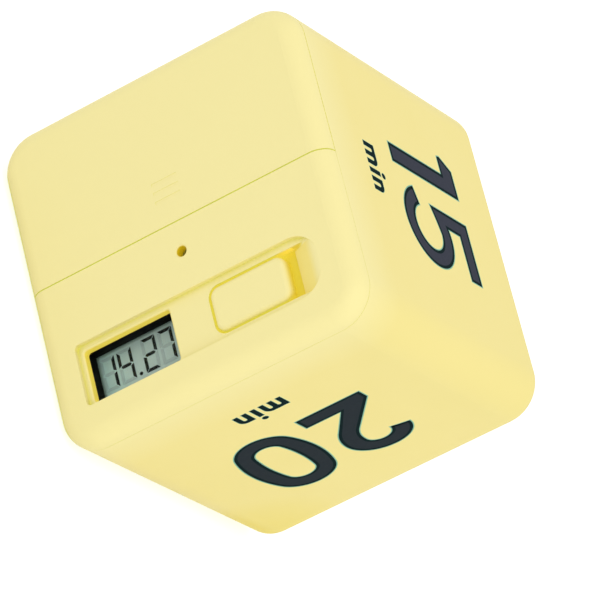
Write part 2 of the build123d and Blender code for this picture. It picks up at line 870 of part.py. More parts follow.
def tilt_planes():
    """Frames of the two tilt sensors: each one's axis leans 45 degrees from upright. The leads of
    the lower one pass beside the display frame."""
    lean = math.radians(tilt_angle)
    lead_place = (can_length / 2 + tilt_lead_reach) * math.sin(lean)
    lead_spread = tilt_lead_pitch / 2 * math.cos(lean) + lead_radius
    beside_frame = frame_left - tilt_frame_gap - lead_spread + lead_place
    depth = board_back + tilt_lift + ball_radius + ball_gap + can_wall
    planes = []
    for side, across, height in (
        (1, beside_frame, half - tilt_spacing / 2),
        (-1, board_middle - tilt_shift, half + tilt_spacing / 2),
    ):
        axis = (side * math.sin(lean), 0, math.cos(lean))
        sideways = (math.cos(lean), 0, -side * math.sin(lean))
        planes.append(Plane(origin=(across, front + depth, height), x_dir=sideways, z_dir=axis))
    return planes


def tube_on(plane, radius, low, high):
    """Cylinder on a plane's axis, between two places along it."""
    return extrude(plane.offset(low) * Circle(radius), amount=high - low)


def tilt_can(plane):
    """Closed metal can of a tilt sensor."""
    end = can_length / 2
    bore = ball_radius + ball_gap
    return tube_on(plane, bore + can_wall, -end, end) - tube_on(plane, bore, -end - overrun, end - can_wall)


def tilt_plug(plane):
    """Moulded plug in the sensor's lower end."""
    end = can_length / 2
    return tube_on(plane, ball_radius + ball_gap - screw_gap, -end, -end + plug_depth)


def tilt_ball(plane):
    """Loose ball that rests against the plug."""
    place = plane.from_local_coords((0, 0, -can_length / 2 + plug_depth + ball_rest_gap + ball_radius))
    return Pos(place) * Sphere(ball_radius)


def tilt_lead_routes(plane):
    """Routes of a sensor's two leads: out of the plug, then forward through the board."""
    routes = []
    for side in (-1, 1):
        start = plane.from_local_coords((side * tilt_lead_pitch / 2, 0, -can_length / 2))
        turn = plane.from_local_coords((side * tilt_lead_pitch / 2, 0, -can_length / 2 - tilt_lead_reach))
        routes.append([start, turn, Vector(turn.X, front + board_depth - lead_stub, turn.Z)])
    return routes


def tube_along(points, radii, radius):
    """Round wire along straight runs joined by tangent arcs."""
    path = FilletPolyline(*points, radius=radii)
    section = Plane(origin=path @ 0, z_dir=path % 0) * Circle(radius)
    return sweep(section, path=path)


def main_board():
    """Circuit board with its screw holes and lead holes."""
    outline = rectangle((board_left, board_right), (board_low, board_high), board_corner)
    board = slab(outline, board_depth, board_back)
    for across, height in posts:
        hole = board_screw_radius + board_hole_gap
        board = board - rod(across, height, hole, board_depth - overrun, board_back + overrun)
    places = switch_pin_places() + lamp_lead_places()
    for plane in tilt_planes():
        places += [(route[-1].X, route[-1].Z) for route in tilt_lead_routes(plane)]
    through = (board_depth - overrun, board_back + overrun)
    for across, height in places:
        board = board - rod(across, height, lead_radius + lead_gap, *through)
    return board


def screw(across, height, under_head, towards_back, head, shank):
    """Pan-head screw: place, depth under its head, way it points, head and shank sizes."""
    head_radius, head_height = head
    shank_radius, shank_length = shank
    way = 1 if towards_back else -1
    depths = sorted((under_head, under_head - way * head_height))
    body = rod(across, height, head_radius, *depths)
    top = body.edges().group_by(Axis.Y)[0 if towards_back else -1]
    body = fillet(top, drive_depth)
    shank_depths = sorted((under_head - way * head_height / 2, under_head + way * shank_length))
    body = body + rod(across, height, shank_radius, *shank_depths)
    drive_end = under_head - way * (head_height - drive_depth)
    drive_depths = sorted((under_head - way * (head_height + overrun), drive_end))
    for width, length in ((drive_width, drive_length), (drive_length, drive_width)):
        drive_across = (across - width / 2, across + width / 2)
        body = body - box(drive_across, drive_depths, (height - length / 2, height + length / 2))
    return body


def board_screws():
    head = (board_screw_head, board_screw_head_height)
    shank = (board_screw_radius, board_screw_length)
    return [screw(across, height, board_back, False, head, shank) for across, height in posts]


def housing_screws():
    head = (lid_screw_head, lid_screw_head_height)
    shank = (lid_screw_radius, lid_screw_length)
    return [screw(bay_middle, height, bay_bottom, True, head, shank) for height in boss_places()]


def display_frame():
    """Black frame that holds the display glass between the panel and the board."""
    across = (frame_left, glass_right + glass_gap + frame_wall)
    height = (glass_low - glass_gap - frame_wall, glass_high + glass_gap + frame_wall)
    frame = box(across, (pad_depth, board_depth), height)
    frame = frame - box((window_left, window_right), (0, board_depth), (window_low, window_high))
    pocket_across = (glass_left - glass_gap, glass_right + glass_gap)
    pocket_height = (glass_low - glass_gap, glass_high + glass_gap)
    return frame - box(pocket_across, (frame_back, board_depth + overrun), pocket_height)


def display_layer(shallow, thickness, right):
    """One flat layer of the display, as long as the glass."""
    return box((glass_left, right), (shallow, shallow + thickness), (glass_low, glass_high))


def segment_outlines():
    """The seven bars of a digit, named as usual from the top clockwise, and the middle bar."""
    width, height, stroke, gap = digit_width, digit_height, digit_stroke, digit_gap
    middle = height / 2
    inner = stroke + gap
    over = middle + stroke / 2
    top = [(gap, height), (width - gap, height), (width - inner, height - stroke), (inner, height - stroke)]
    upper_left = [(0, height - gap), (stroke, height - inner), (stroke, over + gap), (0, middle + gap)]
    centre = [(stroke / 2 + gap, middle), (inner, over), (width - inner, over)]
    centre += [(width - u, height - v) for u, v in centre]
    return {
        "a": top,
        "b": [(width - u, v) for u, v in upper_left],
        "c": [(width - u, height - v) for u, v in upper_left],
        "d": [(u, height - v) for u, v in top],
        "e": [(u, height - v) for u, v in upper_left],
        "f": upper_left,
        "g": centre,
    }


def digit_places():
    """Left end of each of the four digits along the display."""
    first = window_low + digit_end - digit_width
    third = first + digit_pitch + digit_middle
    return [first, first + digit_pitch, third, third + digit_pitch]


def display_segments():
    """Dark bars that spell the reading and its dot, and the idle bars beside them."""
    origin = (window_right - digit_base, front + segment_depth, 0)
    plane = Plane(origin=origin, x_dir=(0, 0, 1), z_dir=(0, -1, 0))
    outlines = segment_outlines()
    lit, idle = [], []
    for place, names in zip(digit_places(), display_reading):
        for name, points in outlines.items():
            placed = [(place + u, v) for u, v in points]
            target = lit if name in names else idle
            target.append(extrude(plane * polygon(placed), amount=-segment_film))
    dot = Pos(window_low + dot_place, dot_rise) * Circle(dot_size / 2)
    lit.append(extrude(plane * dot, amount=-segment_film))
    return lit, idle


def display_connector():
    """Rubber strip that joins the front glass to the board."""
    low = rear_glass_right + connector_gap
    across = (low, low + connector_width)
    shallow = front_glass_depth + glass_thickness
    return box(across, (shallow, board_depth), (window_low, window_high))


def display_cushion():
    """Foam pad that presses the glass forward."""
    shallow = reflector_depth + glass_gap
    return box((window_left, window_right), (shallow, board_depth), (window_low, window_high))


def lamp():
    """Flashing lamp with a domed end and a flange, below the hole."""
    body = rod(hole_place, half, lamp_radius, wall + lamp_lift, board_depth)
    body = fillet(body.edges().group_by(Axis.Y)[0], lamp_radius - lamp_dome)
    return body + rod(hole_place, half, lamp_flange_radius, board_depth - lamp_flange, board_depth)


def board_place(share):
    """Place on the board from its centre."""
    return board_middle + share[0] * board_width, half + share[1] * board_height


def chip_cover():
    """Low dome of resin over the chip."""
    across, height = board_place(chip_place_share)
    sphere_radius = (chip_radius**2 + chip_height**2) / (2 * chip_height)
    ball = Pos(across, front + board_back + chip_height - sphere_radius, height) * Sphere(sphere_radius)
    return ball & rod(across, height, chip_radius + overrun, board_back, board_back + chip_height + overrun)


def crystal():
    """Small metal can that lies along the board."""
    across, height = board_place(crystal_place_share)
    origin = (across, front + board_back + crystal_radius, height)
    plane = Plane(origin=origin, x_dir=(1, 0, 0), z_dir=(0, 0, 1))
    body = tube_on(plane, crystal_radius, -crystal_length / 2, crystal_length / 2)
    return fillet(body.edges().group_by(Axis.Z)[-1], crystal_radius / 3)


def small_parts():
    """Rows of small parts soldered flat on the board."""
    across, height = board_place(small_parts_place_share)
    parts = []
    for column in range(small_part_columns):
        for row in range(small_part_rows):
            x = across + (column - (small_part_columns - 1) / 2) * small_part_pitch
            z = height + (row - (small_part_rows - 1) / 2) * small_part_pitch
            sides = (x - small_part_width / 2, x + small_part_width / 2)
            ends = (z - small_part_length / 2, z + small_part_length / 2)
            parts.append(box(sides, (board_back, board_back + small_part_height), ends))
    return parts


def sounder():
    """Brass disc and its ceramic layer, seated in the ring on the side wall."""
    plane = Plane(origin=(inner_half - ring_ledge, 0, half), x_dir=(0, 1, 0), z_dir=(-1, 0, 0))
    brass = tube_on(plane, disc_radius, 0, disc_thickness)
    ceramic = tube_on(plane, ceramic_radius, disc_thickness, disc_thickness + ceramic_thickness)
    return brass, ceramic


def sounder_wires():
    """Two wires from the board to the ceramic and to the brass."""
    disc_face = inner_half - ring_ledge - disc_thickness
    across = board_right - sounder_wire_inset
    wires = []
    for side, depth, end in (
        (1, half, disc_face - ceramic_thickness),
        (-1, half - sounder_wire_step, disc_face),
    ):
        height = half + side * sounder_wire_spread
        bend = (across, front + depth, height)
        route = [(across, front + board_back, height), bend, (end, front + depth, height)]
        wires.append(tube_along(route, [sounder_wire_bend], sounder_wire_radius))
    return wires


def battery_wire(across, run, rise):
    """Wire from a solder tab, straight back for a run, behind the bay, to the board."""
    low = bay_low + contact_thickness / 2
    tab_end = front + bay_bottom + bay_floor + tab_reach
    end_across = board_left + wire_edge
    route = [
        (across, tab_end, low),
        (across, tab_end + run, low),
        (end_across, tab_end + run, low + rise),
        (end_across, front + board_back, low + rise),
    ]
    return tube_along(route, [wire_bend, wire_bend], wire_radius)


def contact_plate(left, right, low, tab_across):
    """Flat contact against an end wall of the bay, with a solder tab where one is given."""
    height = (low, low + contact_thickness)
    plate = box((left, right), (cell_depth - plate_width / 2, cell_depth + plate_width / 2), height)
    if tab_across is None:
        return plate
    across = (tab_across - tab_width / 2, tab_across + tab_width / 2)
    return plate + box(across, (cell_depth, bay_bottom + bay_floor + tab_reach), height)


def biarc(start, start_way, end, end_way):
    """Two tangent arcs between two points with given directions."""
    across = end - start
    ways = start_way + end_way
    a = 2 * (start_way.dot(end_way) - 1)
    b = across.dot(ways)
    gap = across.dot(across)
    reach = gap / (2 * b) if abs(a) < 1e-9 else (b - math.sqrt(b * b - a * gap)) / a
    first = start + start_way * reach
    second = end - end_way * reach
    joint = (first + second) * 0.5
    return [
        TangentArc(start, joint, tangent=start_way),
        TangentArc(joint, end, tangent=(second - first).normalized()),
    ]


def contact_spring(across, base, way):
    """Conical spring from its plate to a cell, as one wire with straight square ends."""
    turns = 4 * spring_turns
    radius_step = (spring_tip_radius - spring_base_radius) / turns
    axis = Vector(0, 0, way)
    origin = Vector(across, front + cell_depth, base)

    def turn(index, rise, foot):
        angle = index * math.pi / 2
        radius = spring_base_radius + radius_step * index
        out = Vector(math.cos(angle), math.sin(angle), 0)
        round_way = Vector(-math.sin(angle), math.cos(angle), 0)
        point = origin + out * radius + axis * (foot + rise * index / turns)
        slope = out * (radius_step * 2 / math.pi) + round_way * radius + axis * (rise / turns * 2 / math.pi)
        return point, slope.normalized()

    rise = spring_length / 2
    for _ in range(turns):
        bends = []
        for index in (0, turns):
            way_there = turn(index, rise, 0)[1]
            lean = math.acos(way_there.dot(axis))
            bends.append(spring_bend * math.tan(lean / 2))
        foot = spring_wire + bends[0] * (1 + turn(0, rise, 0)[1].dot(axis))
        head = spring_wire + bends[1] * (1 + turn(turns, rise, 0)[1].dot(axis))
        rise = spring_length - foot - head
    points = [turn(index, rise, foot) for index in range(turns + 1)]
    first, first_way = points[0]
    last, last_way = points[-1]
    low_bend = first - (axis + first_way) * bends[0]
    high_bend = last + (axis + last_way) * bends[1]
    edges = [Line(low_bend - axis * spring_wire, low_bend), TangentArc(low_bend, first, tangent=axis)]
    for (start, start_way), (end, end_way) in zip(points, points[1:]):
        edges += biarc(start, start_way, end, end_way)
    edges += [TangentArc(last, high_bend, tangent=last_way), Line(high_bend, high_bend + axis * spring_wire)]
    path = Wire([edge for curve in edges for edge in curve.edges()])
    print_gap(path)
    section = Plane(origin=path @ 0, z_dir=axis) * Circle(spring_wire / 2)
    return sweep(section, path=path)


def print_gap(path):
    """Prints the least gap between turns of a wound wire, measured on points along it."""
    count = 60 * spring_turns
    length = path.length
    points = [path.position_at(index / count) for index in range(count + 1)]
    apart = spring_base_radius * 2
    least = min(
        (points[i] - points[j]).length
        for i in range(count + 1)
        for j in range(i + 1, count + 1)
        if (j - i) * length / count > apart
    )
    print("least gap between turns", round(least - spring_wire, 3))


def cell(across, minus_height, way):
    """One cell: its sleeve, and its metal ends."""
    plane = Plane(origin=(across, front + cell_depth, minus_height), x_dir=(1, 0, 0), z_dir=(0, 0, way))
    shoulder = cell_length - nub_height
    sleeve = tube_on(plane, cell_radius, cell_cap_height, shoulder)
    sleeve = fillet(sleeve.edges().filter_by(GeomType.CIRCLE), cell_edge)
    bottom = tube_on(plane, cell_radius - cell_rim, 0, cell_cap_height)
    top = tube_on(plane, nub_radius, shoulder, cell_length)
    top = fillet(top.edges().group_by(Axis.Z)[-1 if way > 0 else 0], nub_edge)
    return sleeve, [bottom, top]


def build():
    """All sub-parts by name."""
    printed = inks()
    first_cell, second_cell = cell_places
    low_plate = bay_low + contact_thickness
    high_plate = bay_high - contact_thickness
    sleeve_a, ends_a = cell(first_cell, high_plate - cell_length, 1)
    sleeve_b, ends_b = cell(second_cell, low_plate + cell_length, -1)
    reach = plate_width / 2
    lit, idle = display_segments()
    brass, ceramic = sounder()
    tilt_a, tilt_b = tilt_planes()
    tilt_wires = [route for plane in (tilt_a, tilt_b) for route in tilt_lead_routes(plane)]
    parts = {
        "housing": housing(printed),
        "front_panel": front_panel(),
        "battery_cover": battery_cover(),
        "power_knob": power_knob(),
        "switch_case": switch_case(),
        "switch_base": switch_base(),
        "switch_slider": switch_slider(),
        "switch_pins": straight_leads(switch_pin_places()),
        "main_board": main_board(),
        "board_screws": board_screws(),
        "housing_screws": housing_screws(),
        "display_frame": display_frame(),
        "display_film": display_layer(frame_back, film_thickness, glass_right),
        "display_front_glass": display_layer(front_glass_depth, glass_thickness, glass_right),
        "display_rear_glass": display_layer(rear_glass_depth, glass_thickness, rear_glass_right),
        "display_reflector": display_layer(reflector_depth, glass_gap, rear_glass_right),
        "display_digits": lit,
        "display_idle_bars": idle,
        "display_connector": display_connector(),
        "display_cushion": display_cushion(),
        "flash_lamp": lamp(),
        "lamp_leads": straight_leads(lamp_lead_places()),
        "chip_cover": chip_cover(),
        "crystal": crystal(),
        "small_parts": small_parts(),
        "sounder_disc": brass,
        "sounder_ceramic": ceramic,
        "sounder_wires": sounder_wires(),
        "red_wire": battery_wire(second_cell, wire_run + wire_layer, red_wire_rise),
        "black_wire": battery_wire(first_cell, wire_run, black_wire_rise),
        "contact_plus": contact_plate(second_cell - reach, second_cell + reach, bay_low, second_cell),
        "contact_minus": contact_plate(first_cell - reach, first_cell + reach, bay_low, first_cell),
        "contact_bridge": contact_plate(second_cell - reach, first_cell + reach, high_plate, None),
        "spring_minus": contact_spring(first_cell, low_plate, 1),
        "spring_bridge": contact_spring(second_cell, high_plate, -1),
        "cell_a": sleeve_a,
        "cell_a_ends": ends_a,
        "cell_b": sleeve_b,
        "cell_b_ends": ends_b,
        "tilt_can_a": tilt_can(tilt_a),
        "tilt_can_b": tilt_can(tilt_b),
        "tilt_plugs": [tilt_plug(tilt_a), tilt_plug(tilt_b)],
        "tilt_leads": [tube_along(route, [tilt_lead_bend], lead_radius) for route in tilt_wires],
        "tilt_ball_a": tilt_ball(tilt_a),
        "tilt_ball_b": tilt_ball(tilt_b),
    }
    for name, ink in printed.items():
        parts["numeral_" + name] = ink
    return parts


def solid_list(shape):
    """All solids of a part or of a list of parts."""
    if isinstance(shape, list):
        return [solid for item in shape for solid in item.solids()]
    return shape.solids()


os.makedirs("parts", exist_ok=True)
for node, shape in build().items():
    solids = solid_list(shape)
    result = solids[0] if len(solids) == 1 else Compound(solids)
    export_step(result, "parts/" + node + ".step")
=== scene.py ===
import math

import bmesh
import bpy
from mathutils import Matrix, Vector


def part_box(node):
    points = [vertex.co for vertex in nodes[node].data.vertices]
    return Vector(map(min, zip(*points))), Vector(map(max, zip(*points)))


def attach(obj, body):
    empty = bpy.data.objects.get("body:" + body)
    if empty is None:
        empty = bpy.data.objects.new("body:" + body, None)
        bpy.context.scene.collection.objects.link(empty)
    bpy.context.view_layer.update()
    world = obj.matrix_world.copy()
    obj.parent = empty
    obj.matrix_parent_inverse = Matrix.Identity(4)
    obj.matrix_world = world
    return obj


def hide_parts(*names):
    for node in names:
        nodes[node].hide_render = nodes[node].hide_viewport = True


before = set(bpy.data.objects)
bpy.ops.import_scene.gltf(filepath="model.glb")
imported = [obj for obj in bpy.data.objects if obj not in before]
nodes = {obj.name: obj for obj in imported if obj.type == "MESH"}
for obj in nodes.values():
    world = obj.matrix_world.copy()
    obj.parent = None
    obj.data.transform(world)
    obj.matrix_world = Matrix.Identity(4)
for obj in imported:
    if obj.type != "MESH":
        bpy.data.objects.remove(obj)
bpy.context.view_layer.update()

# The camera. It is a long lens held on its side, in front of the display and a little above it.
# Its place, turn and focal length were solved on the outline of a true cube of the timer's size.
CAMERA_PLACE = Vector((0.387576, -0.675561, 0.359226))
CAMERA_RIGHT = Vector((0.22118, 0.52124, 0.82425))
CAMERA_UP = Vector((-0.86351, -0.28813, 0.41392))
CAMERA_LENS = 300.22
SENSOR_WIDTH = 36
NEAREST = 0.05
FARTHEST = 20


def placed(name, data):
    """A new object in the scene, around its data."""
    made = bpy.data.objects.new(name, data)
    bpy.context.scene.collection.objects.link(made)
    return made


camera = placed("camera", bpy.data.cameras.new("camera"))
camera.data.sensor_width = SENSOR_WIDTH
camera.data.lens = CAMERA_LENS
camera.data.clip_start = NEAREST
camera.data.clip_end = FARTHEST
turn = Matrix((CAMERA_RIGHT, CAMERA_UP, CAMERA_RIGHT.cross(CAMERA_UP))).transposed()
camera.matrix_world = Matrix.Translation(CAMERA_PLACE) @ turn.to_4x4()
bpy.context.scene.camera = camera
bpy.context.scene.view_settings.view_transform = "Standard"


# The studio: a pale floor that reads as white and keeps the timer's soft shadow, and a white
# surround. Two large softboxes and the surround light the object at a plain level.
SOFTBOXES = [
    ("key_light", (0.72, -1.05, 1.35), 2.0, 8.0),
    ("side_light", (1.5, -0.1, 0.5), 1.0, 1.5),
]
LIT_MIDDLE = Vector((0, 0, 0.03))
SURROUND = 0.86
FLOOR_HALF = 3.0
FLOOR_HEIGHT = -0.0001
FLOOR_PAPER = (0.86, 0.86, 0.86)
FLOOR_SHADED = (0.55, 0.55, 0.55)
FLOOR_GLOW = 0.7
WHITE = (1.0, 1.0, 1.0)


def tone(red, green, blue):
    """A screen colour from 0 to 255 as the linear colour that a shader takes."""
    shares = [level / 255 for level in (red, green, blue)]
    return tuple(s / 12.92 if s <= 0.04045 else ((s + 0.055) / 1.055) ** 2.4 for s in shares)


class Value:
    """An output of a shader node, on which plain sums add Math nodes."""

    def __init__(self, recipe, socket):
        self.recipe, self.socket = recipe, socket

    def sum(self, operation, first, second):
        return self.recipe.node("Math", {0: first, 1: second}, operation=operation)

    def __add__(self, other):
        return self.sum("ADD", self, other)

    def __sub__(self, other):
        return self.sum("SUBTRACT", self, other)

    def __rsub__(self, other):
        return self.sum("SUBTRACT", other, self)

    def __mul__(self, other):
        return self.sum("MULTIPLY", self, other)

    def __gt__(self, other):
        return self.sum("GREATER_THAN", self, other)


class Recipe:
    """A material or a surround in the making."""

    def __init__(self, owner):
        owner.use_nodes = True
        self.owner, self.tree = owner, owner.node_tree
        self.tree.nodes.clear()

    def node(self, kind, sockets=None, out=0, stops=None, **settings):
        """Adds a node: its settings first, then the values or links of its sockets."""
        made = self.tree.nodes.new("ShaderNode" + kind)
        for name, value in settings.items():
            setattr(made, name, value)
        if stops:
            elements = made.color_ramp.elements
            elements[0].position, elements[1].position = stops[0][0], stops[-1][0]
            for place, _ in stops[1:-1]:
                elements.new(place)
            for element, (_, colour) in zip(elements, stops):
                element.color = (*colour, 1)
        for name, value in (sockets or {}).items():
            if isinstance(value, Value):
                self.tree.links.new(value.socket, made.inputs[name])
            elif isinstance(value, tuple) and len(made.inputs[name].default_value) == 4:
                made.inputs[name].default_value = (*value, 1)
            else:
                made.inputs[name].default_value = value
        return Value(self, made.outputs[out]) if made.outputs else None

    def place(self):
        return self.node("TexCoord", out="Object")

    def along(self, way):
        """How far a point lies along one way of the frame: 0 across, 1 to the back, 2 up."""
        return self.node("SeparateXYZ", {0: self.place()}, out=way)

    def noise(self, scale, detail=2, place=None):
        return self.node("TexNoise", {"Vector": place or self.place(), "Scale": scale, "Detail": detail})

    def ramp(self, value, start, end):
        """How far a value has come from a start to an end, from 0 to 1."""
        return self.node("MapRange", {0: value, 1: start, 2: end, 3: 0.0, 4: 1.0})

    def tint(self, share, first, second):
        """A colour between two others."""
        return self.node("Mix", {0: share, 6: first, 7: second}, out=2, data_type="RGBA")

    def relief(self, height, strength, depth):
        """A surface normal from a height that varies over the surface."""
        return self.node("Bump", {"Height": height, "Strength": strength, "Distance": depth})

    def seen(self):
        """1 for a ray that comes from the eye, also by a mirror or a clear layer, and 0 for light."""
        kinds = ("Is Camera Ray", "Is Glossy Ray", "Is Transmission Ray")
        eye, mirror, through = [self.node("LightPath", out=kind) for kind in kinds]
        seen = eye.sum("MAXIMUM", eye, mirror)
        return seen.sum("MAXIMUM", seen, through)

    def shader(self, **sockets):
        """The finished surface; an underscore stands for a space in a socket's name."""
        named = {name.replace("_", " "): value for name, value in sockets.items()}
        surface = self.node("BsdfPrincipled", named)
        self.node("OutputMaterial", {"Surface": surface})
        return self.owner


floor = placed("floor", bpy.data.meshes.new("floor"))
ways = ((-1, -1), (1, -1), (1, 1), (-1, 1))
corners = [(x * FLOOR_HALF, y * FLOOR_HALF, FLOOR_HEIGHT) for x, y in ways]
floor.data.from_pydata(corners, [], [(0, 1, 2, 3)])

recipe = Recipe(bpy.data.materials.new("floor"))
paper = recipe.node("BsdfDiffuse", {"Color": FLOOR_PAPER})
shaded = recipe.node("BsdfDiffuse", {"Color": FLOOR_SHADED})
glow = recipe.node("Emission", {"Color": WHITE, "Strength": FLOOR_GLOW})
lifted = recipe.node("AddShader", {0: shaded, 1: glow})
surface = recipe.node("MixShader", {0: recipe.seen(), 1: paper, 2: lifted})
recipe.node("OutputMaterial", {"Surface": surface})
floor.data.materials.append(recipe.owner)

world = bpy.data.worlds.new("surround")
bpy.context.scene.world = world
recipe = Recipe(world)
lit = recipe.node("Background", {"Color": WHITE, "Strength": SURROUND})
white = recipe.node("Background", {"Color": WHITE, "Strength": 1.0})
surface = recipe.node("MixShader", {0: recipe.seen(), 1: lit, 2: white})
recipe.node("OutputWorld", {"Surface": surface})

for name, place, side, power in SOFTBOXES:
    light = placed(name, bpy.data.lights.new(name, "AREA"))
    light.data.size = side
    light.data.energy = power
    light.location = place
    light.rotation_mode = "QUATERNION"
    light.rotation_quaternion = (LIT_MIDDLE - light.location).to_track_quat("-Z", "Y")


# The shell: housing, front panel and battery cover, moulded in one pale yellow plastic with a fine
# satin grain from the mould. The knob is the same plastic from a second, slightly smoother mould.
def dress(material, *names):
    """Gives CAD nodes their material."""
    for name in names:
        if not nodes[name].material_slots:
            nodes[name].data.materials.append(material)
        for holder in nodes[name].material_slots:
            holder.material = material


CLOUD_SCALE = 45
SPECK_SCALE = 1900
SPECK_SHARE = 0.2
HANDLED_SCALE = 140
GLOSS_SPREAD = 0.14
WAVE_SCALE = 110
WAVE_SHARE = 2.0
GRAIN_STRENGTH = 0.35
MOULDED_SHINE = 0.22

CREVICE_REACH = 0.0016
CREVICE_SAMPLES = 8
CREVICE_TINTED = (0.85, 0.3)
CREVICE_CLOSED = (0.6, 0.1)
CREVICE_SHARE = 0.9
# Painted shade: the deeper colour that gaps and inner corners get in place of their shade.
CREVICE_PAINTED_SHADE = tone(218, 212, 84)
# Painted glow: the light that gaps and inner corners give off, though they are no lamp.
CREVICE_PAINTED_GLOW = tone(114, 124, 62)
# Painted light: the front is painted paler, as it is lit more, and this fades into the shell's colour towards
# the joint.
PANEL_PAINTED_LIGHT = tone(247, 235, 165)
PANEL_BACK = (-0.0280, -0.0170)

RECESS_LOW = (0.0115, 0.0060)
RECESS_HIGH = (0.0250, 0.0545)
WALL_DEPTHS = (-0.02895, -0.0285, -0.0270)
# Painted shade and painted glow for the walls that go down into the face, and painted shade for the floor of
# the scoop.
WALL_PAINTED_SHADE = tone(240, 220, 86)
WALL_PAINTED_GLOW = tone(134, 116, 44)
SCOOP_SPAN = (0.0137, 0.0223)
SCOOP_FOOT = 0.0489
SCOOP_DEPTHS = (-0.0299, -0.0292)
SCOOP_PAINTED_SHADE = tone(248, 230, 134)
HOLE_PLACE = (0.00503, 0.030)
HOLE_REACH = 0.00100
HOLE_DEPTHS = (-0.02995, -0.0296)
HOLE_PAINTED_SHADE = tone(222, 196, 30)
HOLE_PAINTED_GLOW = tone(88, 78, 8)


def sunk_walls(recipe, place, closed, colour, glow):
    """The colour and glow, with painted shade and painted glow on the walls of the recess and window, the
    scoop and the hole.
    """
    across, back, up = place
    start, full, end = WALL_DEPTHS
    within = (up > RECESS_LOW[1]) * (1 - (up > RECESS_HIGH[1])) * (1 - (back > end))
    within = within * (across > RECESS_LOW[0]) * (1 - (across > RECESS_HIGH[0]))
    scooped = (up > SCOOP_FOOT) * (across > SCOOP_SPAN[0]) * (1 - (across > SCOOP_SPAN[1]))
    wall_shade = recipe.ramp(back, start, full) * within * (1 - scooped)
    scoop_shade = recipe.ramp(back, *SCOOP_DEPTHS) * within * scooped
    colour = recipe.tint(scoop_shade, recipe.tint(wall_shade, colour, WALL_PAINTED_SHADE), SCOOP_PAINTED_SHADE)
    glow = recipe.tint(wall_shade * (1 - closed) * (1 - (up > SCOOP_FOOT)), glow, WALL_PAINTED_GLOW)
    # Painted shade and painted glow down the small hole in the face.
    aside, above = across - HOLE_PLACE[0], up - HOLE_PLACE[1]
    outside = aside * aside + above * above > HOLE_REACH ** 2
    hole_shade = recipe.ramp(back, *HOLE_DEPTHS) * (1 - outside)
    return recipe.tint(hole_shade, colour, HOLE_PAINTED_SHADE), recipe.tint(hole_shade, glow, HOLE_PAINTED_GLOW)


CORNER_PLACE = 0.030
CORNER_REACH = (0.0200, 0.0085)
CORNER_ROUNDING = (0.02999, 0.0296)
CORNER_FLAT_SHARE = 0.5
CORNER_PAINTED_SHADE = tone(240, 220, 100)


def low_corners(recipe, place, colour):
    """The colour, with painted shade round the two low corners at the back, which face away from the lamps.
    It is half as strong on the flat of the left and right sides, and full from their rounding on, so the
    painted shade reaches the back as well."""
    across, back, up = place
    outwards = recipe.node("Math", {0: across}, operation="ABSOLUTE")
    aside, beyond = outwards - CORNER_PLACE, back - CORNER_PLACE
    far, near = CORNER_REACH
    share = recipe.ramp(aside * aside + beyond * beyond + up * up, far ** 2, near ** 2)
    rounded = recipe.ramp(outwards, *CORNER_ROUNDING) * (1 - CORNER_FLAT_SHARE) + CORNER_FLAT_SHARE
    return recipe.tint(share * rounded, colour, CORNER_PAINTED_SHADE)


FLANGE_DEPTHS = (-0.0293, -0.0275)
FLANGE_PAINTED_SHADE = tone(240, 220, 66)


def moulded(name, colour, drift, gloss, grain, grain_depth, pale=False, sunk=False, flanged=False, low=False):
    """Moulded plastic: cloudy colour, a fine grain, and gloss that varies a little with handling.
    A pale plastic gets a painted deeper shade and a painted glow in its narrow gaps and inner corners,
    and on the walls that go down into the face. It is painted paler towards the face, as painted light."""
    recipe = Recipe(bpy.data.materials.new(name))
    cloud = recipe.noise(CLOUD_SCALE, 3)
    speck = recipe.noise(SPECK_SCALE)
    colour = recipe.tint(cloud * (1 - SPECK_SHARE) + speck * SPECK_SHARE, colour, drift)
    through = {}
    if pale:
        place = [recipe.along(way) for way in range(3)]
        # Painted light: paler towards the lit face.
        colour = recipe.tint(recipe.ramp(place[1], *PANEL_BACK), PANEL_PAINTED_LIGHT, colour)
        # Painted shade and painted glow, stronger where a point is more closed in.
        sockets = {"Distance": CREVICE_REACH}
        open_share = recipe.node("AmbientOcclusion", sockets, out="AO", samples=CREVICE_SAMPLES)
        painted_shade_share = recipe.ramp(open_share, *CREVICE_TINTED) * CREVICE_SHARE
        colour = recipe.tint(painted_shade_share, colour, CREVICE_PAINTED_SHADE)
        closed = recipe.ramp(open_share, *CREVICE_CLOSED)
        glow = recipe.tint(closed, (0.0, 0.0, 0.0), CREVICE_PAINTED_GLOW)
        if sunk:
            colour, glow = sunk_walls(recipe, place, closed, colour, glow)
        # Painted shade on the knob's sides and flange below its top.
        if flanged:
            colour = recipe.tint(recipe.ramp(place[1], *FLANGE_DEPTHS), colour, FLANGE_PAINTED_SHADE)
        # Painted shade round the low back corners.
        if low:
            colour = low_corners(recipe, place, colour)
        # The painted glow is given as emission, though the plastic is no lamp.
        through = {"Emission_Color": glow, "Emission_Strength": 1.0}
    height = recipe.noise(grain) + recipe.noise(WAVE_SCALE, 1) * WAVE_SHARE
    return recipe.shader(
        Base_Color=colour,
        Roughness=recipe.noise(HANDLED_SCALE, 4) * GLOSS_SPREAD + (gloss - GLOSS_SPREAD / 2),
        Specular_IOR_Level=MOULDED_SHINE,
        Normal=recipe.relief(height, GRAIN_STRENGTH, grain_depth),
        **through,
    )


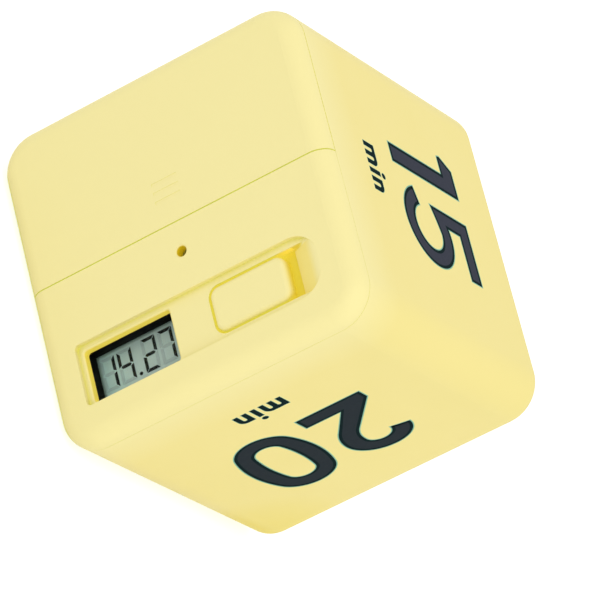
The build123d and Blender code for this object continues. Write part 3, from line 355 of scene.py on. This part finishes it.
shell_look = (tone(243, 227, 144), tone(245, 229, 148), 0.46, 5200, 0.000012)
knob_look = (tone(244, 232, 158), tone(246, 235, 163), 0.42, 5200, 0.000008)
dress(moulded("shell_plastic", *shell_look, pale=True, low=True), "housing")
dress(moulded("front_plastic", *shell_look, pale=True, sunk=True), "front_panel", "battery_cover")
dress(moulded("knob_plastic", *knob_look, pale=True, flanged=True), "power_knob")


# The numerals: black pad-printed ink on four sides, flush in the shell. The ink is a dark slate,
# darker and greener at its rim, where it dries thicker, with a thin pale halo of thinned ink.
INK_HALO = 0.00020
INK_RIM = 0.00058
UNIT_HALO = 0.00008
UNIT_RIM = 0.00030
DIGIT_HEIGHT = 0.012
INK_SHINE = 0.01
INK_RELIEF = 0.000006
CORE, RIM, HALO = range(3)


def ink(name, colour, drift, gloss):
    """Pad-printed ink: mottled colour and very little shine."""
    recipe = Recipe(bpy.data.materials.new(name))
    mottle = recipe.noise(900, 3)
    dots = recipe.noise(7000, 1)
    return recipe.shader(
        Base_Color=recipe.tint(mottle, colour, drift),
        Roughness=dots * 0.12 + gloss,
        Specular_IOR_Level=INK_SHINE,
        Normal=recipe.relief(dots, 0.25, INK_RELIEF),
    )


ink_core = ink("ink", tone(57, 60, 71), tone(63, 66, 77), 0.5)
# A darker copy of the same ink, as painted shade, for the numerals on the 20 and 30 sides.
ink_shaded_copy = ink("ink_shaded_copy", tone(40, 47, 52), tone(45, 52, 57), 0.5)
ink_rim = ink("ink_rim", tone(6, 28, 30), tone(10, 34, 36), 0.46)
ink_halo = ink("ink_halo", tone(132, 186, 162), tone(144, 196, 170), 0.5)

WELD = 1e-7
FACING = 0.99
SHARPEST_TURN = 0.6


def welded(name):
    """The mesh of a CAD node with its double points joined, for reading its shape."""
    source = bmesh.new()
    source.from_mesh(nodes[name].data)
    bmesh.ops.remove_doubles(source, verts=source.verts, dist=WELD)
    return source


def islands_of(faces):
    """Sorts faces into the groups that hang together."""
    left, groups = set(faces), []
    while left:
        group, found = [], [left.pop()]
        while found:
            face = found.pop()
            group.append(face)
            near = {other for edge in face.edges for other in edge.link_faces} & left
            left -= near
            found += near
        groups.append(group)
    return groups


def on_outline(loop, group):
    """Whether a loop of a face runs on the outline of the face's group."""
    return not any(other is not loop.face and other in group for other in loop.edge.link_faces)


def drawn_in(group, outward, distance):
    """Points of a flat group's outline, moved into it by a distance."""
    inward = {}
    for face in group:
        for loop in face.loops:
            if on_outline(loop, group):
                start, end = loop.vert, loop.link_loop_next.vert
                side = outward.cross(end.co - start.co).normalized()
                inward.setdefault(start, []).append(side)
                inward.setdefault(end, []).append(side)
    moved = {}
    for vert, sides in inward.items():
        way = sum(sides, Vector()).normalized()
        moved[vert] = vert.co + way * (distance / max(way.dot(sides[0]), SHARPEST_TURN))
    return moved


def printed(name, outward, core):
    """Numeral with its rim and halo, made from the outline of its CAD node."""
    outward = Vector(outward)
    source = welded(name)
    source.normal_update()
    numeral = bmesh.new()
    for face in source.faces:
        if face.normal.dot(outward) < FACING:
            side = numeral.faces.new([numeral.verts.new(vert.co) for vert in face.verts])
            side.material_index = RIM
    for group in islands_of([face for face in source.faces if face.normal.dot(outward) > FACING]):
        points = [vert.co for face in group for vert in face.verts]
        spans = [max(p[i] for p in points) - min(p[i] for p in points) for i in range(3)]
        tall = max(spans) > DIGIT_HEIGHT
        halo_width, rim_width = (INK_HALO, INK_RIM) if tall else (UNIT_HALO, UNIT_RIM)
        halo = drawn_in(group, outward, halo_width)
        rim = drawn_in(group, outward, halo_width + rim_width)
        edge = {vert: vert.co for vert in halo}
        outer, middle, inner = [
            {vert: numeral.verts.new(line[vert]) for vert in halo} for line in (edge, halo, rim)
        ]
        chosen = set(group)
        for face in group:
            filled = numeral.faces.new([inner[vert] for vert in face.verts])
            filled.material_index = CORE if tall else RIM
            for loop in face.loops:
                if on_outline(loop, chosen):
                    start, end = loop.vert, loop.link_loop_next.vert
                    for out, into, layer in ((outer, middle, HALO), (middle, inner, RIM)):
                        band = numeral.faces.new([out[start], out[end], into[end], into[start]])
                        band.material_index = layer
    bmesh.ops.remove_doubles(numeral, verts=numeral.verts, dist=WELD)
    piece = placed("printed_" + name[-2:], bpy.data.meshes.new("printed"))
    numeral.to_mesh(piece.data)
    numeral.free()
    source.free()
    for material in (core, ink_rim, ink_halo):
        piece.data.materials.append(material)
    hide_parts(name)
    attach(piece, "case")


printed("numeral_15", (0, 0, 1), ink_core)
printed("numeral_20", (1, 0, 0), ink_shaded_copy)
printed("numeral_30", (0, 0, -1), ink_shaded_copy)
printed("numeral_60", (-1, 0, 0), ink_core)


# The display: a twisted-nematic glass in a black frame. A grey-green film and the front glass lie
# over the dark bars and the faint idle ones, and a silver-grey reflector lies behind the rear glass.
DARK_SHINE = 0.1
HAZE_SCALE = 260
CLEAR_DRIFT = 0.9
CLEAR_RELIEF = 0.000003


def plain(name, colour, drift, scale, gloss, **sockets):
    """A finish with cloudy colour and slightly uneven gloss."""
    recipe = Recipe(bpy.data.materials.new(name))
    cloud = recipe.noise(scale, 3)
    return recipe.shader(
        Base_Color=recipe.tint(cloud, colour, drift),
        Roughness=cloud * 0.1 + gloss,
        Normal=recipe.relief(recipe.noise(scale * 20, 1), 0.2, 0.000006),
        **sockets,
    )


def clear(name, colour, strength, gloss):
    """A thin clear layer: it tints and reflects a little, and lets the rest through."""
    recipe = Recipe(bpy.data.materials.new(name))
    haze = recipe.noise(HAZE_SCALE, 3)
    return recipe.shader(
        Base_Color=recipe.tint(haze, colour, tuple(share * CLEAR_DRIFT for share in colour)),
        Roughness=haze * 0.06 + gloss,
        Alpha=haze * 0.02 + strength,
        Normal=recipe.relief(recipe.noise(900, 1), 0.1, CLEAR_RELIEF),
    )


dress(clear("display_film", tone(110, 130, 120), 0.02, 0.4), "display_film")
dress(clear("display_glass", tone(140, 160, 152), 0.01, 0.1), "display_front_glass")
bars = plain("display_bars", tone(2, 4, 4), tone(6, 8, 8), 800, 0.6, Specular_IOR_Level=DARK_SHINE)
dress(bars, "display_digits")
collar = plain("black_plastic", tone(1, 2, 2), tone(3, 4, 4), 500, 0.6, Specular_IOR_Level=DARK_SHINE)
dress(collar, "display_frame")

# The backing's silver-grey, painted lighter at its low end against the shade of the frame.
SILVER_WITH_PAINTED_LIGHT = [
    (0.1, tone(212, 254, 246)),
    (0.35, tone(204, 234, 228)),
    (0.65, tone(200, 226, 222)),
    (1.0, tone(192, 226, 222)),
]
SILVER_SPARKLE = tone(232, 242, 232)
SILVER_PAINTED_GLOW = 0.045
SPARKLE_SHARE = 0.12
VEIL_COLOUR = tone(120, 140, 150)
IDLE_VEIL = 0.32
# Painted shadow of the black frame, darkening the backing beside two of its edges.
FRAME_PAINTED_SHADOW = tone(84, 110, 104)
FRAME_SHADOW_ACROSS = (0.0124, 0.0133)
FRAME_SHADOW_ALONG = (0.0068, 0.0077)
low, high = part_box("display_reflector")


def silvered(name, veil):
    """Silver-grey backing, painted lighter and greener at its low end, with a painted glow and a painted
    shadow of the black frame along two of its edges.
    """
    recipe = Recipe(bpy.data.materials.new(name))
    across, up = recipe.along(0), recipe.along(2)
    share = (up - low.z) * (1 / (high.z - low.z))
    grey = recipe.tint(veil, recipe.node("ValToRGB", {0: share}, stops=SILVER_WITH_PAINTED_LIGHT), VEIL_COLOUR)
    lit = recipe.ramp(across, *FRAME_SHADOW_ACROSS) * recipe.ramp(up, *FRAME_SHADOW_ALONG)
    grey = recipe.tint(lit, FRAME_PAINTED_SHADOW, grey)
    sparkle = recipe.noise(5000)
    return recipe.shader(
        Base_Color=recipe.tint(sparkle * SPARKLE_SHARE, grey, SILVER_SPARKLE),
        # A painted glow: the backing gives off light, though it is no lamp.
        Emission_Color=grey,
        Emission_Strength=SILVER_PAINTED_GLOW,
        Roughness=sparkle * 0.1 + 0.45,
        Normal=recipe.relief(sparkle, 0.2, 0.000004),
    )


dress(silvered("display_reflector", 0.0), "display_reflector", "display_rear_glass")
dress(silvered("idle_bars", IDLE_VEIL), "display_idle_bars")


# What joins the display to the board: a striped rubber strip that carries the contacts, and a
# strip of grey foam that presses the glass forwards.
STRIPES = 9000.0

recipe = Recipe(bpy.data.materials.new("striped_rubber"))
turned = recipe.along(2) * STRIPES
stripe = turned.sum("SINE", turned, 0.0) > 0.0
dress(recipe.shader(
    Base_Color=recipe.tint(stripe, tone(196, 150, 150), tone(34, 34, 36)),
    Roughness=recipe.noise(400) * 0.1 + 0.6,
    Normal=recipe.relief(stripe, 0.3, 0.00001),
), "display_connector")
dress(plain("foam", tone(96, 96, 98), tone(60, 60, 62), 2600, 0.85), "display_cushion")


# The lamp behind the hole: a small bead of yellow resin that lets very little through. It shows as
# the deep yellow bottom of the hole, and its leads are dressed with the other metal parts.
recipe = Recipe(bpy.data.materials.new("lamp_resin"))
haze = recipe.noise(700)
dress(recipe.shader(
    Base_Color=recipe.tint(haze, tone(214, 184, 6), tone(196, 166, 4)),
    Roughness=haze * 0.1 + 0.4,
    Alpha=haze * 0.04 + 0.95,
    Specular_IOR_Level=0.2,
    Normal=recipe.relief(haze, 0.1, 0.00001),
), "flash_lamp")


# The metal parts: tinned leads and contacts, spring steel, plated screws, nickelled cans, polished
# balls and the brass disc of the sounder. All show fine lines along the way they were drawn.
LINE_SPREAD = 0.16
LINE_RELIEF = 0.000008
SCREW_LINES = (8, 8, 1)


def metal(name, colour, drift, gloss, brush, stretch=(1, 1, 8)):
    """Plated or polished metal with fine lines along one way."""
    recipe = Recipe(bpy.data.materials.new(name))
    drawn = recipe.node("Mapping", {"Vector": recipe.place(), "Scale": stretch}, vector_type="TEXTURE")
    lines = recipe.noise(brush, 4, drawn)
    spots = recipe.noise(500)
    return recipe.shader(
        Base_Color=recipe.tint(spots, colour, drift),
        Metallic=1.0,
        Roughness=lines * LINE_SPREAD + gloss,
        Normal=recipe.relief(lines, 0.2, LINE_RELIEF),
    )


tinned = metal("tinned_steel", tone(196, 198, 200), tone(182, 184, 186), 0.18, 2600)
dress(tinned, "lamp_leads", "tilt_leads", "switch_pins", "contact_plus", "contact_minus", "contact_bridge")
sprung = metal("spring_steel", tone(200, 201, 202), tone(176, 178, 180), 0.2, 4000)
dress(sprung, "spring_minus", "spring_bridge")
plated = metal("screw_steel", tone(178, 180, 182), tone(150, 152, 156), 0.24, 3200, SCREW_LINES)
dress(plated, "board_screws", "housing_screws")
nickelled = metal("can_nickel", tone(206, 202, 192), tone(188, 184, 174), 0.16, 2400)
dress(nickelled, "tilt_can_a", "tilt_can_b", "switch_case", "crystal")
polished = metal("ball_steel", tone(214, 214, 214), tone(198, 198, 198), 0.08, 1800)
dress(polished, "tilt_ball_a", "tilt_ball_b")
dress(metal("brass", tone(206, 170, 92), tone(186, 146, 70), 0.24, 2400), "sounder_disc")


# The rest of the electronics: the green board, the black resin over its chip, ceramic parts, the
# white slider and base of the switch, and the plugs of the tilt sensors.
TRACKS = {
    "Scale": 220.0,
    "Mortar Size": 0.06,
    "Brick Width": 0.9,
    "Row Height": 0.3,
}
BLACK = (0.0, 0.0, 0.0)

recipe = Recipe(bpy.data.materials.new("board"))
spot = recipe.node("Mapping", {"Vector": recipe.place(), "Rotation": (math.radians(90), 0, 0)})
colours = {"Color1": BLACK, "Color2": BLACK, "Mortar": WHITE}
tracks = recipe.node("TexBrick", {"Vector": spot, **colours, **TRACKS}, out=1)
weave = recipe.noise(3000)
green = recipe.tint(weave, tone(16, 84, 48), tone(22, 96, 56))
dress(recipe.shader(
    Base_Color=recipe.tint(tracks, green, tone(52, 132, 78)),
    Roughness=weave * 0.1 + 0.28,
    Normal=recipe.relief(tracks, 0.3, 0.00003),
), "main_board")
dress(plain("resin", tone(16, 16, 17), tone(28, 28, 30), 300, 0.2), "chip_cover")
dress(plain("ceramic", tone(226, 220, 206), tone(206, 198, 180), 500, 0.4), "sounder_ceramic")
dress(plain("part_ceramic", tone(186, 160, 124), tone(150, 126, 96), 900, 0.4), "small_parts")
pale_plastic = moulded("white_plastic", tone(228, 226, 218), tone(218, 216, 206), 0.4, 4200, 0.00001)
dress(pale_plastic, "switch_slider")
dark_plastic = moulded("base_plastic", tone(30, 30, 32), tone(40, 40, 42), 0.45, 4200, 0.00001)
dress(dark_plastic, "switch_base", "tilt_plugs")


# The solder joints: a small hollow-sided cone of tin round each lead that comes through the board.
# Those of the switch and lamp are behind the board, and those of the tilt sensors before it.
JOINT_RADIUS = 0.00074
JOINT_HEIGHT = 0.00062
LEAD_RADIUS = 0.00027
JOINT_SIDES = 20
JOINT_RINGS = 5
JOINT_HOLLOW = 2.0
TIP_REACH = 0.00001

tree = bpy.data.node_groups.new("solder_joints", "GeometryNodeTree")
tree.interface.new_socket("Ends", in_out="INPUT", socket_type="NodeSocketGeometry")
for name in ("Radius", "Height", "Lead", "Turn"):
    tree.interface.new_socket(name, in_out="INPUT", socket_type="NodeSocketFloat")
tree.interface.new_socket("Material", in_out="INPUT", socket_type="NodeSocketMaterial")
tree.interface.new_socket("Joints", in_out="OUTPUT", socket_type="NodeSocketGeometry")


def step(kind, sockets=None, **settings):
    """Adds a node to the tree of the solder joints, and gives its outputs."""
    made = tree.nodes.new(kind)
    for name, value in settings.items():
        setattr(made, name, value)
    for name, value in (sockets or {}).items():
        if isinstance(value, bpy.types.NodeSocket):
            tree.links.new(value, made.inputs[name])
        else:
            made.inputs[name].default_value = value
    return made.outputs


def worked_out(operation, first, second):
    """A sum in the tree of the solder joints."""
    return step("ShaderNodeMath", {0: first, 1: second}, operation=operation)[0]


given = step("NodeGroupInput")
stump = step("GeometryNodeMeshCone", {
    "Vertices": JOINT_SIDES,
    "Side Segments": JOINT_RINGS,
    "Radius Top": 1.0,
    "Radius Bottom": 1.0,
    "Depth": 1.0,
})["Mesh"]
spot = step("ShaderNodeSeparateXYZ", {0: step("GeometryNodeInputPosition")[0]})
hollow = worked_out("POWER", worked_out("SUBTRACT", 1.0, spot[2]), JOINT_HOLLOW)
reach = worked_out("MULTIPLY", hollow, worked_out("SUBTRACT", given["Radius"], given["Lead"]))
reach = worked_out("ADD", reach, given["Lead"])
drawn = step("ShaderNodeCombineXYZ", {
    0: worked_out("MULTIPLY", spot[0], reach),
    1: worked_out("MULTIPLY", spot[1], reach),
    2: worked_out("MULTIPLY", spot[2], given["Height"]),
})[0]
cone = step("GeometryNodeSetPosition", {"Geometry": stump, "Position": drawn})[0]
turned = step("FunctionNodeEulerToRotation", {0: step("ShaderNodeCombineXYZ", {0: given["Turn"]})[0]})[0]
standing = {"Points": given["Ends"], "Instance": cone, "Rotation": turned}
copies = step("GeometryNodeInstanceOnPoints", standing)[0]
real = step("GeometryNodeRealizeInstances", {"Geometry": copies})[0]
joints = step("GeometryNodeSetMaterial", {"Geometry": real, "Material": given["Material"]})[0]
step("NodeGroupOutput", {"Joints": joints})


def lead_ends(name, way):
    """Middles of the free ends of a node's leads, across and up. The way is 1 behind the board."""
    source = welded(name)
    ends = []
    for group in islands_of(source.faces):
        points = [vert.co for face in group for vert in face.verts]
        tip = max(way * point.y for point in points)
        last = [point for point in points if way * point.y > tip - TIP_REACH]
        ends.append([(min(p[i] for p in last) + max(p[i] for p in last)) / 2 for i in (0, 2)])
    source.free()
    return ends


def soldered(name, ends, depth, way, material):
    """One piece with the solder joints on one side of the board."""
    piece = placed(name, bpy.data.meshes.new(name))
    piece.data.from_pydata([(across, depth, up) for across, up in ends], [], [])
    modifier = piece.modifiers.new("joints", "NODES")
    modifier.node_group = tree
    sizes = {
        "Radius": JOINT_RADIUS,
        "Height": JOINT_HEIGHT,
        "Lead": LEAD_RADIUS,
        "Turn": math.radians(-90 * way),
        "Material": material,
    }
    for socket in tree.interface.items_tree:
        if socket.name in sizes:
            modifier[socket.identifier] = sizes[socket.name]
    shaped = bpy.data.meshes.new_from_object(piece.evaluated_get(bpy.context.evaluated_depsgraph_get()))
    piece.modifiers.clear()
    piece.data = shaped
    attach(piece, "case")


solder = metal("solder", tone(206, 208, 210), tone(176, 178, 182), 0.22, 1800)
low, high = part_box("main_board")
soldered("solder_behind_board", lead_ends("switch_pins", 1) + lead_ends("lamp_leads", 1), high.y, 1, solder)
soldered("solder_before_board", lead_ends("tilt_leads", -1), low.y, -1, solder)


# The wires: tinned copper in soft plastic covers. One battery wire is red, and the other one and
# both wires of the sounder are black.
COVER_SCALE = 600
COVER_GLOSS = 0.32

red_cover = plain("red_cover", tone(176, 24, 22), tone(196, 34, 28), COVER_SCALE, COVER_GLOSS)
dress(red_cover, "red_wire")
black_cover = plain("black_cover", tone(18, 18, 20), tone(30, 30, 32), COVER_SCALE, COVER_GLOSS)
dress(black_cover, "black_wire", "sounder_wires")


# The two cells: a printed plastic sleeve with a copper-coloured band at the plus end, and plain
# nickelled steel ends. The cells lie in opposite ways, so one band is high and one is low.
COPPER_BANDS = (("cell_a", 0.68, 1.0), ("cell_b", 0.0, 0.32))
COPPER = tone(186, 120, 66)
COPPER_SHINE = 0.7

for name, low_share, high_share in COPPER_BANDS:
    low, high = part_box(name)
    recipe = Recipe(bpy.data.materials.new(name + "_sleeve"))
    share = (recipe.along(2) - low.z) * (1 / (high.z - low.z))
    band = (share > low_share) * (1 - (share > high_share))
    scuff = recipe.noise(500, 3)
    sleeve = recipe.tint(scuff, tone(30, 32, 36), tone(40, 42, 48))
    dress(recipe.shader(
        Base_Color=recipe.tint(band, sleeve, COPPER),
        Metallic=band * COPPER_SHINE,
        Roughness=scuff * 0.12 + 0.26,
        Normal=recipe.relief(scuff, 0.15, 0.00001),
    ), name)
dress(metal("cell_steel", tone(206, 206, 204), tone(190, 190, 188), 0.2, 1500), "cell_a_ends", "cell_b_ends")
